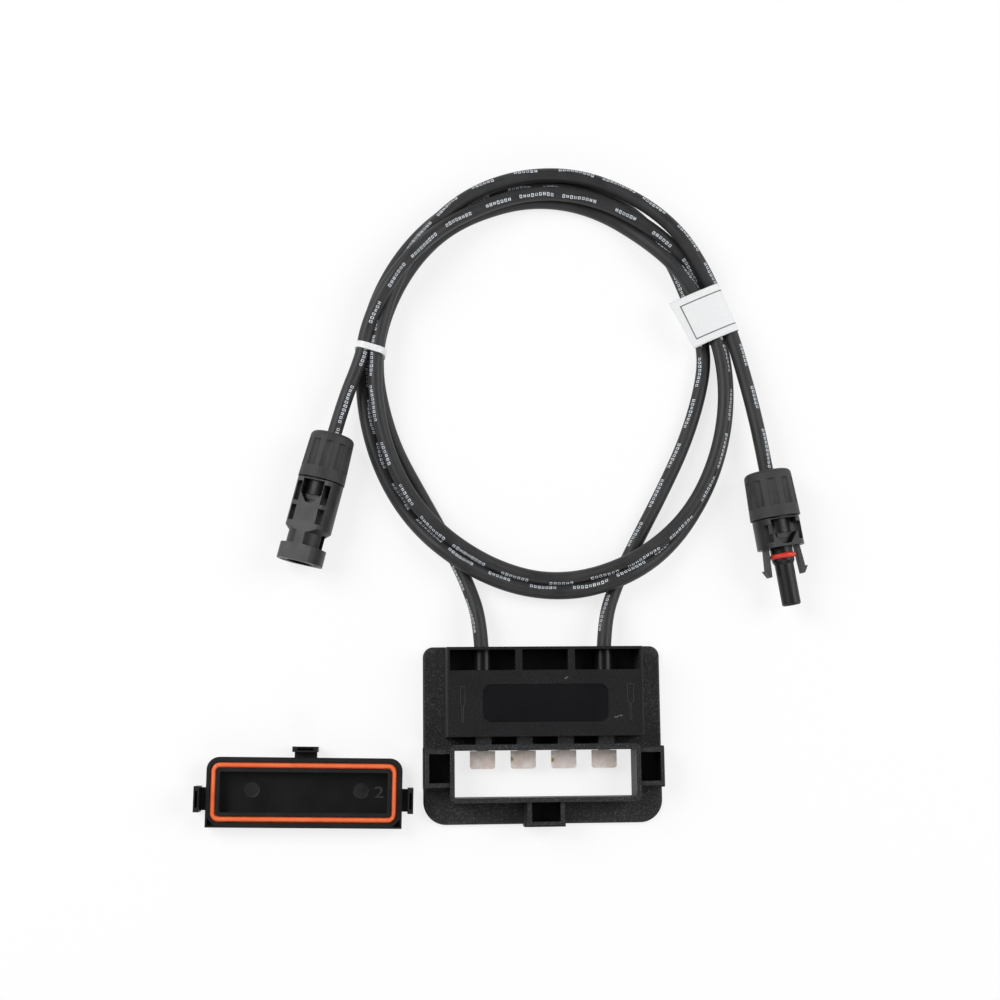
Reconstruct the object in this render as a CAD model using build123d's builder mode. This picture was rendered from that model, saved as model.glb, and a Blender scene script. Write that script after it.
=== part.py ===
from build123d import *
import math
import os

os.makedirs("parts", exist_ok=True)

# Driving dimensions, in millimetres. The origin is the middle of the box's mounting face.

# Base moulding
flange_x, flange_y, flange_t = 100.0, 73.4, 2.5
flange_back_r, flange_front_r = 4.3, 9.5
flange_edge_r = 0.9
block_x, block_y, block_h = 82.0, 37.6, 17.0
block_draft, block_inset = 1.5, 0.3
block_edge_r = 0.5
chamber_wall, chamber_roof, chamber_r = 2.4, 2.4, 1.5
pocket_y, pocket_floor, pocket_wall = 8.5, 3.0, 1.15
divider_x, divider_t = 10.9, 2.9
sleeve_wall = 1.05
label_x, label_y, label_r, label_depth = 52.0, 15.6, 3.8, 0.4

# Window rim, through which the panel's ribbons come up
rim_x, rim_y, rim_h, rim_wall, rim_r = 78.8, 23.6, 14.5, 1.9, 2.6
rim_back_wall, rim_gap = 2.45, 2.7
rim_draft = 0.5
rim_edge_r = 0.4
rib_w, rib_h = 6.5, 13.0

# Latch sockets round the rim
socket_w, socket_hole, socket_bar, socket_h = 17.0, 11.8, 2.3, 13.0
socket_side_reach, socket_front_reach = 10.8, 10.2
socket_step, socket_step_h = 0.8, 8.0
socket_shift = 2.2

# Copper terminals, diodes and crimps
terminal_count, terminal_pitch = 4, 16.95
terminal_w, terminal_reach, terminal_t, terminal_z, terminal_r = 10.5, 7.4, 0.8, 4.0, 1.2
neck_w, neck_t, rail_w, rail_gap = 5.0, 0.6, 7.0, 3.2
diode_r, diode_len, diode_lead_r, diode_y = 2.7, 8.0, 0.6, 5.8
diode_lead_on = 2.5
crimp_len, core_r, core_bare = 8.0, 1.2, 11.0
compound_gap = 0.5

# Lid, lying on its face beside the box with its inner side up
lid_x, lid_y, lid_h, lid_plate, lid_r = 79.8, 28.4, 8.0, 2.0, 5.2
lid_place, lid_turn = (-98.7, -22.7), -1.2
gasket_x, gasket_y, gasket_r, gasket_corner = 73.7, 21.8, 1.25, 2.4
gasket_shift = (-0.3, 0.1)
upstand_wall, groove_floor, recess_r = 1.4, 5.0, 0.8
latch_w, latch_t, latch_reach, latch_h, latch_neck, latch_shift = 10.4, 2.2, 4.5, 12.5, 9.2, -2.8
latch_slot_x, latch_slot_y, latch_slot_deep = 6.6, 1.0, 5.0
gusset_leg, gusset_wall = 3.2, 0.7

# Cable and its coil
cable_r = 3.05
cable_exit_z = 8.0
cable_inside, cable_straight = 0.65, 9.0
coil_layers = 2
coil_outer, coil_outer_at = (81.9, 94.5), (3.8, 150.4)
coil_inner, coil_inner_at = (71.5, 80.2), (5.5, 148.1)
tie_place, tie_turn, tie_x, tie_t, tie_w, tie_r = (-71.9, 163.0), -16.0, 13.4, 1.1, 2.7, 4.0
wrap_place, wrap_turn, wrap_x, wrap_t, wrap_len, wrap_r = (72.5, 178.5), 22.8, 20.6, 0.4, 21.0, 4.0

# Connectors. Lengths run along each connector from the cable end of its gland nut.
nut_len, nut_wall, nut_taper, nut_round = 20.2, 4.0, 0.65, 2.2
groove_count, groove_r, groove_deep, groove_at, groove_len = 10, 2.4, 0.85, 4.0, 11.4
stem_r, stem_at, bore_end = 7.2, 8.5, 17.0
cage_r, cage_head_r, cage_head, cage_len, cage_slot, cage_fingers = 6.0, 6.9, 1.5, 9.0, 1.2, 6
seal_r, seal_len = 4.8, 8.0
flat_half, core_barrel_r, barrel_len, hex_r, hex_len = 7.4, 5.6, 8.6, 5.2, 2.2
recess_floor, recess_half = 3.9, 4.7
shell_r, shell_end, shell_bore_r, shell_bore, mouth_r, mouth = 9.75, 55.6, 4.3, 17.3, 5.6, 6.5
waist_r, waist_at, waist_len, waist_ramp, waist_lip = 7.65, 41.3, 7.6, 2.0, 0.4
slot_w, slot_side, slot_long, slot_short, slot_at, slot_bridge = 2.5, 6.15, 8.5, 6.6, 22.6, 1.8
plug_r, plug_body, plug_slot_at, plug_slot_len, plug_slot_side = 10.0, 12.3, 23.2, 7.6, 7.0
plug_end, plug_tube_r, plug_tip_round = 57.8, 4.0, 0.6
plug_neck_r, ring_gap, ring_cord_r, ring_groove_r, plug_lip, plug_taper = 4.75, 3.65, 1.1, 3.5, 1.0, 1.5
arm_side, arm_t, arm_h, arm_len, arm_splay = 7.1, 1.8, 3.4, 12.0, 0.8
barb, barb_len = 1.2, 3.0
contact_r, pin_r, pin_end, socket_end = 2.5, 1.95, 48.5, 55.5

# Clearances
fit = 0.05
running = 0.1
cable_clear = 0.3
nut_gap = 0.5
seat = 0.15

# Where each connector lies: cable end of the nut, heading, roll about its own axis, and nut radius.
connectors = {
    "left": {"start": (-87.5, 125.5), "heading": 255.5, "roll": -18.0, "nut_r": 9.95},
    "right": {"start": (97.0, 110.2), "heading": 278.8, "roll": 9.5, "nut_r": 10.7},
}

# Levels and lines worked out from the sizes above.
block_back = flange_y / 2 - block_inset
block_front = block_back - block_y
slope = math.tan(math.radians(block_draft)) * block_h
block_top_back = block_back - slope
block_top_front = block_front + slope
pocket_back = block_top_back - pocket_wall
pocket_front = pocket_back - pocket_y
chamber_back = pocket_front - chamber_wall
chamber_front = block_top_front + chamber_wall
chamber_x = block_x - 2 * slope - 2 * chamber_wall
chamber_h = block_h - chamber_roof
pocket_edge = block_x / 2 - slope - pocket_wall
rim_back = block_front - rim_gap
rim_mid = rim_back - rim_y / 2
window_x, window_y = rim_x - 2 * rim_wall, rim_y - rim_wall - rim_back_wall
window_mid = rim_mid - (rim_back_wall - rim_wall) / 2
window_taper = math.tan(math.radians(rim_draft)) * rim_h
sleeve_r = cable_r + fit + sleeve_wall
terminal_xs = [(i - (terminal_count - 1) / 2) * terminal_pitch for i in range(terminal_count)]
cable_xs = {"left": terminal_xs[0], "right": terminal_xs[-1]}
window_back = window_mid + window_y / 2 - window_taper * (1 - terminal_z / rim_h)
terminal_top = terminal_z + terminal_t
cable_start_y = chamber_back - cable_inside
cable_out_y = block_back + cable_straight
body_at = nut_len + nut_gap
plug_body_end = body_at + plug_body
ring_at = plug_body_end + ring_gap
plug_collar = ring_at + ring_cord_r + fit + plug_lip


def upright(y):
    """A plane that faces +Y at the given y, with its own y axis up."""
    return Plane(origin=(0, y, 0), x_dir=(-1, 0, 0), z_dir=(0, 1, 0))


def turned(place, angle, z=0.0):
    """A level plane at a place, turned about the vertical."""
    a = math.radians(angle)
    return Plane(origin=(*place, z), x_dir=(math.cos(a), math.sin(a), 0), z_dir=(0, 0, 1))


def outward(frame, x, y, angle):
    """A plane on a frame's x and y with its x axis turned outward by the angle."""
    a = math.radians(angle)
    way = frame.x_dir * math.cos(a) + frame.y_dir * math.sin(a)
    at = frame.origin + frame.x_dir * x + frame.y_dir * y
    return Plane(origin=at, x_dir=way, z_dir=frame.z_dir)


def save(builder, name):
    """Label a finished piece and write it."""
    builder.part.label = name
    export_step(builder.part, f"parts/{name}.step")


# Base moulding: flange, window rim, potting block, ribs and latch sockets in one piece.
with BuildPart() as box_base:
    with BuildSketch() as flange_outline:
        Rectangle(flange_x, flange_y)
        fillet(flange_outline.vertices().group_by(Axis.Y)[-1], flange_back_r)
        fillet(flange_outline.vertices().group_by(Axis.Y)[0], flange_front_r)
    extrude(amount=flange_t)
    fillet(box_base.faces().sort_by(Axis.Z)[-1].edges(), flange_edge_r)
    with BuildSketch() as rim_outline:
        with Locations((0, rim_mid)):
            RectangleRounded(rim_x, rim_y, rim_r)
    extrude(amount=rim_h)
    fillet(box_base.faces().sort_by(Axis.Z)[-1].edges(), rim_edge_r)
    with BuildSketch() as window_outline:
        with Locations((0, window_mid)):
            Rectangle(window_x - 2 * window_taper, window_y - 2 * window_taper)
    extrude(amount=rim_h, taper=-rim_draft, mode=Mode.SUBTRACT)
    with BuildSketch() as block_outline:
        with Locations((0, block_back - block_y / 2)):
            Rectangle(block_x, block_y)
    extrude(amount=block_h, taper=block_draft)
    fillet(box_base.faces().sort_by(Axis.Z)[-1].edges(), block_edge_r)
    with BuildSketch() as rib_outline:
        with Locations(*[(x, (rim_back + block_front) / 2) for x in terminal_xs]):
            Rectangle(rib_w, rim_gap + rim_wall)
    extrude(amount=rib_h)
    # Latch sockets: one on each short side of the rim and one at the front.
    level = Plane.XY
    sockets = [
        (outward(level, -rim_x / 2, rim_mid + socket_shift, 180), socket_side_reach),
        (outward(level, rim_x / 2, rim_mid + socket_shift, 0), socket_side_reach),
        (outward(level, 0, rim_mid - rim_y / 2, -90), socket_front_reach),
    ]
    for plane, reach in sockets:
        with BuildSketch(plane):
            with Locations((-rim_wall / 2, 0)):
                Rectangle(reach + rim_wall / 2, socket_w, align=(Align.MIN, Align.CENTER))
        extrude(amount=socket_step_h)
        with BuildSketch(plane):
            with Locations((-rim_wall / 2, 0)):
                Rectangle(
                    reach - socket_step + rim_wall / 2,
                    socket_w - 2 * socket_step,
                    align=(Align.MIN, Align.CENTER),
                )
        extrude(amount=socket_h)
        with BuildSketch(plane.offset(flange_t)):
            Rectangle(reach - socket_bar, socket_hole, align=(Align.MIN, Align.CENTER))
        extrude(amount=socket_h, mode=Mode.SUBTRACT)
    # Pockets behind the potting chamber, with the cable sleeves bridging the outer two.
    inner_edge = divider_x + divider_t / 2
    centre_half = divider_x - divider_t / 2
    with BuildSketch(Plane.XY.offset(pocket_floor)):
        with Locations((0, pocket_front)):
            Rectangle(2 * centre_half, pocket_y, align=(Align.CENTER, Align.MIN))
        for side in (-1, 1):
            with Locations((side * (pocket_edge + inner_edge) / 2, pocket_front)):
                Rectangle(pocket_edge - inner_edge, pocket_y, align=(Align.CENTER, Align.MIN))
    extrude(amount=block_h, mode=Mode.SUBTRACT)
    with BuildSketch(upright(pocket_front - fit)):
        with Locations(*[(-x, cable_exit_z) for x in cable_xs.values()]):
            Circle(sleeve_r)
    extrude(amount=pocket_y + 2 * fit)
    # Potting chamber, open at the mounting face.
    with BuildSketch():
        with Locations((0, (chamber_front + chamber_back) / 2)):
            RectangleRounded(chamber_x, chamber_back - chamber_front, chamber_r)
    extrude(amount=chamber_h, mode=Mode.SUBTRACT)
    with BuildSketch(upright(chamber_back - fit)):
        with Locations(*[(-x, cable_exit_z) for x in cable_xs.values()]):
            Circle(cable_r + fit)
    extrude(amount=block_back - chamber_back + 1, mode=Mode.SUBTRACT)
    # Slots for the terminal necks, from the chamber to the window.
    with BuildSketch(upright(window_back - rim_wall)):
        with Locations(*[(x, terminal_z + terminal_t / 2) for x in terminal_xs]):
            Rectangle(neck_w + 2 * fit, terminal_t + 2 * fit)
    extrude(amount=chamber_front - window_back + rim_wall + fit, mode=Mode.SUBTRACT)
    # Recessed panel on the block's top.
    with BuildSketch(Plane.XY.offset(block_h)):
        with Locations((0, (pocket_front + block_top_front) / 2)):
            RectangleRounded(label_x, label_y, label_r)
    extrude(amount=-label_depth, mode=Mode.SUBTRACT)
save(box_base, "box_base")

# Copper terminals: a tab in the window, a neck in the wall and a rail in the chamber.
tab_back = window_back - seat
neck_back = chamber_front + seat
inner_pieces = []
for index, x in enumerate(terminal_xs):
    with BuildPart() as terminal:
        with BuildSketch(Plane((x, 0, terminal_z))) as terminal_outline:
            with Locations((0, tab_back)):
                Rectangle(terminal_w, terminal_reach, align=(Align.CENTER, Align.MAX))
            fillet(terminal_outline.vertices().group_by(Axis.Y)[0], terminal_r)
            with Locations((0, neck_back)):
                Rectangle(rail_w, chamber_back - rail_gap - neck_back, align=(Align.CENTER, Align.MIN))
        extrude(amount=terminal_t)
        with BuildSketch(Plane((x, 0, terminal_z))):
            with Locations((0, tab_back)):
                Rectangle(neck_w, neck_back - tab_back, align=(Align.CENTER, Align.MIN))
        extrude(amount=neck_t)
    save(terminal, f"terminal_{index + 1}")
    inner_pieces.append(terminal.part)

# Bypass diodes across neighbouring terminals, each with its straight leads.
for index in range(terminal_count - 1):
    middle = (terminal_xs[index] + terminal_xs[index + 1]) / 2
    lead_end = terminal_pitch / 2 - rail_w / 2 + diode_lead_on
    at = Vector(middle, neck_back + diode_y, terminal_top + diode_lead_r + fit)
    with BuildPart() as diode:
        with BuildSketch(Plane(origin=at, z_dir=(1, 0, 0))):
            Circle(diode_lead_r)
        extrude(amount=lead_end, both=True)
        with BuildSketch(Plane(origin=at, z_dir=(1, 0, 0))):
            Circle(diode_r)
        extrude(amount=diode_len / 2, both=True)
    save(diode, f"bypass_diode_{index + 1}")
    inner_pieces.append(diode.part)

# Crimps: each barrel holds the bared core of a cable on an outer terminal.
for side, x in cable_xs.items():
    crimp_r = cable_exit_z - terminal_top - fit
    with BuildPart() as core:
        with BuildSketch(upright(cable_start_y - core_bare)):
            with Locations((-x, cable_exit_z)):
                Circle(core_r)
        extrude(amount=core_bare)
    save(core, f"{side}_cable_core")
    with BuildPart() as crimp:
        with BuildSketch(upright(cable_start_y - core_bare + 1)):
            with Locations((-x, cable_exit_z)):
                Circle(crimp_r)
                Circle(core_r, mode=Mode.SUBTRACT)
        extrude(amount=crimp_len)
    save(crimp, f"{side}_crimp")
    inner_pieces += [core.part, crimp.part]


# Free stretches of cable. Points are (x, y, z); corners are rounded as far as the runs allow.
def route_line(points):
    """Straight runs joined by tangent arcs, each as large as its two runs allow."""
    radii = []
    for a, b, c in zip(points, points[1:], points[2:]):
        first, second = Vector(*b) - Vector(*a), Vector(*c) - Vector(*b)
        half = math.radians(first.get_angle(second)) / 2
        radii.append(0.45 * min(first.length, second.length) / math.tan(half))
    return FilletPolyline(*points, radius=radii), radii


def connector_frame(start, heading, roll, nut_r):
    """x along the connector, y to its side, z out of its flat face; the nut rests on the floor."""
    h, r = math.radians(heading), math.radians(roll)
    side = Vector(-math.sin(h), math.cos(h), 0)
    normal = Vector(0, 0, 1) * math.cos(r) + side * math.sin(r)
    return Plane(origin=(*start, nut_r), x_dir=(math.cos(h), math.sin(h), 0), z_dir=normal)


def across(frame, along):
    """A plane square to the connector's axis, its y axis out of the flat face."""
    at = frame.origin + frame.x_dir * along
    return Plane(origin=at, x_dir=frame.y_dir, z_dir=frame.x_dir)


frames = {side: connector_frame(**place) for side, place in connectors.items()}
# The cable is straight from this far outside the nut to its end inside the connector.
straight = 12.0


def into_connector(side):
    """The last two points of a tail: in line with the connector, then its end inside."""
    frame = frames[side]
    return [tuple(frame.origin + frame.x_dir * along) for along in (-straight, bore_end)]


upper_z = 3 * cable_r
routes = {
    "left_lead": [
        (cable_xs["left"], cable_start_y, cable_exit_z),
        (cable_xs["left"], cable_out_y, cable_exit_z),
        (-31.8, 65.2, 3.2),
        (-41.0, 83.3, cable_r),
        (-51.4, 102.0, cable_r),
    ],
    "right_lead": [
        (cable_xs["right"], cable_start_y, cable_exit_z),
        (cable_xs["right"], cable_out_y, cable_exit_z),
        (32.8, 64.8, 3.2),
        (42.0, 82.4, cable_r),
        (52.8, 102.4, cable_r),
        (63.4, 124.0, cable_r),
        (70.7, 146.0, cable_r),
        (73.4, 163.0, cable_r),
    ],
    "left_tail": [(-75.4, 160.0, upper_z), *into_connector("left")],
    "right_tail": [(85.9, 164.5, upper_z), (91.3, 143.0, 9.4), *into_connector("right")],
}
for name, points in routes.items():
    with BuildPart() as tube:
        with BuildLine() as path:
            line, radii = route_line(points)
        with BuildSketch(Plane(origin=line @ 0, z_dir=line % 0)):
            Circle(cable_r)
        sweep()
    share = tube.part.volume / (math.pi * cable_r**2 * line.length)
    rounded = [round(r) for r in radii]
    print(name, "length", round(line.length, 1), "radii", rounded, "volume share", round(share, 4))
    save(tube, name)
    if name.endswith("lead"):
        inner_pieces.append(tube.part)

# Potting compound fills the chamber round the terminals, diodes, crimps and cable ends.
with BuildPart() as potting_compound:
    with BuildSketch(Plane.XY.offset(compound_gap)):
        with Locations((0, (chamber_front + chamber_back) / 2)):
            RectangleRounded(chamber_x, chamber_back - chamber_front, chamber_r)
    extrude(amount=chamber_h - compound_gap)
    for piece in inner_pieces:
        add(piece, mode=Mode.SUBTRACT)
save(potting_compound, "potting_compound")

# Coil: the outer shape of the strands that lie together, two cables deep.
with BuildPart() as cable_coil:
    with BuildSketch():
        with Locations(coil_outer_at):
            Ellipse(*coil_outer)
        with Locations(coil_inner_at):
            Ellipse(*coil_inner, mode=Mode.SUBTRACT)
    extrude(amount=2 * coil_layers * cable_r)
    fillet(cable_coil.faces().sort_by(Axis.Z)[-1].edges(), cable_r)
save(cable_coil, "cable_coil")

# Tie and paper label, each a band right round the strands.
band_h = 2 * coil_layers * cable_r
tie_out = (tie_x, band_h + 2 * tie_t)
wrap_out = (wrap_x, band_h + 2 * wrap_t)
bands = {
    "cable_tie": (tie_place, tie_turn, tie_out, tie_t, tie_w, tie_r),
    "cable_label": (wrap_place, wrap_turn, wrap_out, wrap_t, wrap_len, wrap_r),
}
for name, (place, angle, outer, wall, width, corner) in bands.items():
    flat = turned(place, angle, outer[1] / 2)
    facing = Plane(origin=flat.origin - flat.y_dir * width / 2, x_dir=-flat.x_dir, z_dir=flat.y_dir)
    with BuildPart() as band:
        with BuildSketch(facing):
            RectangleRounded(*outer, corner)
            RectangleRounded(outer[0] - 2 * wall, outer[1] - 2 * wall, corner - wall, mode=Mode.SUBTRACT)
        extrude(amount=width)
    save(band, name)

# Lid: plate, skirt, gasket groove, upstand, recess, hollow corners and three latch legs.
lid_frame = turned(lid_place, lid_turn)
groove_out = 2 * gasket_r + 2 * fit
groove_in = (gasket_x - groove_out, gasket_y - groove_out)
recess_size = (groove_in[0] - 2 * upstand_wall, groove_in[1] - 2 * upstand_wall)
with BuildPart() as lid:
    with BuildSketch(lid_frame) as lid_outline:
        Rectangle(lid_x, lid_y)
        fillet(lid_outline.vertices().group_by(Axis.Y)[-1], lid_r)
    extrude(amount=lid_h)
    with BuildSketch(lid_frame.offset(groove_floor)):
        with Locations(gasket_shift):
            RectangleRounded(gasket_x + groove_out, gasket_y + groove_out, gasket_corner + gasket_r + fit)
            RectangleRounded(*groove_in, gasket_corner - gasket_r - fit, mode=Mode.SUBTRACT)
    extrude(amount=lid_h, mode=Mode.SUBTRACT)
    with BuildSketch(lid_frame.offset(lid_plate)):
        with Locations(gasket_shift):
            RectangleRounded(*recess_size, recess_r)
    extrude(amount=lid_h, mode=Mode.SUBTRACT)
    corner_x, corner_y = lid_x / 2 - gusset_wall, gusset_wall - lid_y / 2
    with BuildSketch(lid_frame.offset(groove_floor)):
        for side in (-1, 1):
            with BuildLine():
                Polyline(
                    (side * corner_x, corner_y),
                    (side * (corner_x - gusset_leg), corner_y),
                    (side * corner_x, corner_y + gusset_leg),
                    close=True,
                )
            make_face()
    extrude(amount=lid_h, mode=Mode.SUBTRACT)
    legs = [
        outward(lid_frame, -lid_x / 2, latch_shift, 180),
        outward(lid_frame, lid_x / 2, latch_shift, 0),
        outward(lid_frame, 0, lid_y / 2, 90),
    ]
    for plane in legs:
        with BuildSketch(plane):
            with Locations((-1, 0)):
                Rectangle(latch_reach - latch_t + 1.5, latch_neck, align=(Align.MIN, Align.CENTER))
        extrude(amount=lid_plate + 2)
        with BuildSketch(plane):
            with Locations((latch_reach, 0)):
                Rectangle(latch_t, latch_w, align=(Align.MAX, Align.CENTER))
        extrude(amount=latch_h)
        with BuildSketch(plane.offset(latch_h)):
            with Locations((latch_reach - latch_t / 2, 0)):
                Rectangle(latch_slot_y, latch_slot_x)
        extrude(amount=-latch_slot_deep, mode=Mode.SUBTRACT)
save(lid, "lid")

with BuildPart() as lid_gasket:
    half_x, half_y = gasket_x / 2, gasket_y / 2
    gasket_plane = outward(lid_frame, *gasket_shift, 0).offset(groove_floor + gasket_r)
    with BuildLine(gasket_plane) as gasket_path:
        corners = [(-half_x, -half_y), (half_x, -half_y), (half_x, half_y), (-half_x, half_y)]
        loop = FilletPolyline(*corners, radius=gasket_corner, close=True)
    with BuildSketch(Plane(origin=loop @ 0, z_dir=loop % 0)):
        Circle(gasket_r)
    sweep()
save(lid_gasket, "lid_gasket")

# Gland nut, clamp cage and seal are alike on both connectors.
for side, frame in frames.items():
    spin = Axis(frame.origin, frame.x_dir)
    nut_r = connectors[side]["nut_r"]
    nut_top_r = nut_r - nut_taper
    hole, cavity = cable_r + cable_clear, stem_r + running
    with BuildPart() as gland_nut:
        with BuildSketch(frame):
            with BuildLine():
                edge = nut_top_r - nut_round
                bend = nut_round * math.sqrt(0.5)
                middle = (nut_round - bend, edge + bend)
                ThreePointArc((0, edge), middle, (nut_round, nut_top_r))
                Polyline(
                    (nut_round, nut_top_r),
                    (nut_len, nut_r),
                    (nut_len, cavity),
                    (nut_wall, cavity),
                    (nut_wall, hole),
                    (0, hole),
                    (0, edge),
                )
            make_face()
        revolve(axis=spin)
        with BuildSketch(across(frame, groove_at)):
            with PolarLocations(nut_top_r - groove_deep + groove_r, groove_count):
                Circle(groove_r)
        extrude(amount=groove_len, mode=Mode.SUBTRACT)
    save(gland_nut, f"{side}_gland_nut")
    cage_bore = seal_r + running
    cage_at = nut_wall + running
    with BuildPart() as clamp_cage:
        with BuildSketch(frame):
            with Locations((cage_at, cage_bore)):
                Rectangle(cage_len, cage_r - cage_bore, align=(Align.MIN, Align.MIN))
                Rectangle(cage_head, cage_head_r - cage_bore, align=(Align.MIN, Align.MIN))
        revolve(axis=spin)
        with BuildSketch(across(frame, cage_at + 2 * cage_head)):
            with PolarLocations(0, cage_fingers):
                Rectangle(2 * cage_r, cage_slot, align=(Align.MIN, Align.CENTER))
        extrude(amount=cage_len, mode=Mode.SUBTRACT)
    save(clamp_cage, f"{side}_clamp_cage")
    with BuildPart() as cable_seal:
        with BuildSketch(frame):
            with Locations((bore_end - seat, cable_r)):
                Rectangle(seal_len, seal_r - cable_r, align=(Align.MAX, Align.MIN))
        revolve(axis=spin)
    save(cable_seal, f"{side}_cable_seal")


def stem(frame):
    """The threaded stem behind a connector body, which the nut runs on."""
    with BuildSketch(across(frame, stem_at)) as ring:
        Circle(stem_r)
    extrude(ring.sketch, amount=body_at - stem_at + fit)


def flat_section(frame, along, radius, length):
    """A round body with flats above and below, from one place along the axis."""
    with BuildSketch(across(frame, along)) as section:
        Circle(radius)
        Rectangle(2 * radius, 2 * flat_half, mode=Mode.INTERSECT)
    extrude(section.sketch, amount=length)


def barrel_recess(frame, depth_end, half):
    """Recesses above and below that lay the contact barrel bare, with its hexagon end."""
    tip = half / 3
    for face in (1, -1):
        with BuildSketch(frame.offset(face * recess_floor)) as arrow:
            with BuildLine():
                Polyline(
                    (body_at + nut_gap, -half),
                    (body_at + barrel_len - hex_len, -half),
                    (depth_end, -tip),
                    (depth_end, tip),
                    (body_at + barrel_len - hex_len, half),
                    (body_at + nut_gap, half),
                    close=True,
                )
            make_face()
        extrude(arrow.sketch, amount=face * flat_half, mode=Mode.SUBTRACT)
    with BuildSketch(across(frame, body_at)) as barrel:
        Circle(core_barrel_r)
    extrude(barrel.sketch, amount=barrel_len - hex_len)
    with BuildSketch(across(frame, body_at)) as hexagon:
        RegularPolygon(hex_r, 6)
    extrude(hexagon.sketch, amount=barrel_len)


def bore(frame, start, end, radius):
    """A round hole along the axis between two places."""
    with BuildSketch(across(frame, start)) as hole:
        Circle(radius)
    extrude(hole.sketch, amount=end - start, mode=Mode.SUBTRACT)


# Socket connector: the wide shell whose windows catch the other's arms.
frame = frames["left"]
shell_floor = shell_end - shell_bore
short_at = slot_at + slot_long + slot_bridge
with BuildPart() as left_connector_body:
    stem(frame)
    flat_section(frame, body_at, shell_r, shell_end - body_at)
    waist_end = waist_at + waist_len
    with BuildSketch(frame):
        with BuildLine():
            Polyline(
                (waist_at, shell_r + 1),
                (waist_at, shell_r),
                (waist_at + waist_ramp, waist_r),
                (waist_end - waist_lip, waist_r),
                (waist_end, shell_r),
                (waist_end, shell_r + 1),
                close=True,
            )
        make_face()
    revolve(axis=Axis(frame.origin, frame.x_dir), mode=Mode.SUBTRACT)
    with BuildSketch(frame):
        for side in (-1, 1):
            with Locations((slot_at, side * slot_side)):
                Rectangle(slot_long, slot_w, align=(Align.MIN, Align.CENTER))
            with Locations((short_at, side * slot_side)):
                Rectangle(slot_short, slot_w, align=(Align.MIN, Align.CENTER))
    extrude(amount=shell_r, both=True, mode=Mode.SUBTRACT)
    with BuildSketch(across(frame, short_at)):
        with Locations((-arm_side, 0), (arm_side, 0)):
            Rectangle(arm_t + 2 * running, arm_h + 4 * running)
    extrude(amount=shell_end - short_at, mode=Mode.SUBTRACT)
    barrel_recess(frame, slot_at + slot_long, recess_half)
    bore(frame, stem_at, bore_end, cage_r + running)
    bore(frame, bore_end, shell_floor, contact_r + fit)
    bore(frame, shell_floor, shell_end, shell_bore_r)
    bore(frame, shell_end - mouth, shell_end, mouth_r)
save(left_connector_body, "left_connector_body")

with BuildPart() as pin_contact:
    with BuildSketch(across(frame, bore_end)):
        Circle(contact_r)
    extrude(amount=shell_floor - bore_end)
    with BuildSketch(across(frame, shell_floor)):
        Circle(pin_r)
    extrude(amount=pin_end - shell_floor)
    pin_tip = pin_contact.faces().sort_by(Axis(frame.origin, frame.x_dir))[-1]
    fillet(pin_tip.edges(), pin_r / 2)
save(pin_contact, "pin_contact")

# Plug connector: barrel body, two snap arms and the long tube that enters the shell.
frame = frames["right"]
spin = Axis(frame.origin, frame.x_dir)
with BuildPart() as right_connector_body:
    stem(frame)
    flat_section(frame, body_at, plug_r, plug_body)
    with BuildSketch(frame):
        for side in (-1, 1):
            with Locations((plug_slot_at, side * plug_slot_side)):
                Rectangle(plug_slot_len, slot_w, align=(Align.MIN, Align.CENTER))
    extrude(amount=plug_r, both=True, mode=Mode.SUBTRACT)
    barrel_recess(frame, plug_body_end - 1, plug_slot_side - slot_w / 2)
    arm_in, arm_out = arm_side - arm_t / 2, arm_side + arm_t / 2
    arm_end = plug_body_end + arm_len
    with BuildSketch(frame.offset(-arm_h / 2)):
        for side in (-1, 1):
            with BuildLine():
                Polyline(
                    (plug_body_end - fit, side * arm_in),
                    (arm_end, side * (arm_in + arm_splay)),
                    (arm_end, side * (arm_out + arm_splay - barb / 2)),
                    (arm_end - barb_len, side * (arm_out + arm_splay + barb)),
                    (arm_end - barb_len, side * (arm_out + arm_splay)),
                    (plug_body_end - fit, side * arm_out),
                    close=True,
                )
            make_face()
    extrude(amount=arm_h)
    ring_half = ring_cord_r + fit
    with BuildSketch(frame):
        with BuildLine():
            Polyline(
                (plug_body_end - 1, 0),
                (plug_body_end - 1, plug_neck_r),
                (ring_at - ring_half, plug_neck_r),
                (ring_at - ring_half, ring_groove_r),
                (ring_at + ring_half, ring_groove_r),
                (ring_at + ring_half, plug_neck_r),
                (plug_collar, plug_neck_r),
                (plug_collar + plug_taper, plug_tube_r),
                (plug_end - plug_tip_round, plug_tube_r),
                (plug_end, plug_tube_r - plug_tip_round),
                (plug_end, 0),
                close=True,
            )
        make_face()
    revolve(axis=spin)
    bore(frame, stem_at, bore_end, cage_r + running)
    bore(frame, bore_end, socket_end, contact_r + fit)
    bore(frame, socket_end, plug_end, pin_r + cable_clear)
save(right_connector_body, "right_connector_body")

with BuildPart() as socket_contact:
    with BuildSketch(across(frame, bore_end)):
        Circle(contact_r)
    extrude(amount=socket_end - bore_end)
    bore(frame, socket_end - shell_bore, socket_end, pin_r + fit)
save(socket_contact, "socket_contact")

with BuildPart() as plug_o_ring:
    with BuildSketch(frame):
        with Locations((ring_at, ring_groove_r + ring_cord_r)):
            Circle(ring_cord_r)
    revolve(axis=spin)
save(plug_o_ring, "plug_o_ring")
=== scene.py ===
import bpy
import math
import numpy as np
from mathutils import Matrix, Vector


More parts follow.
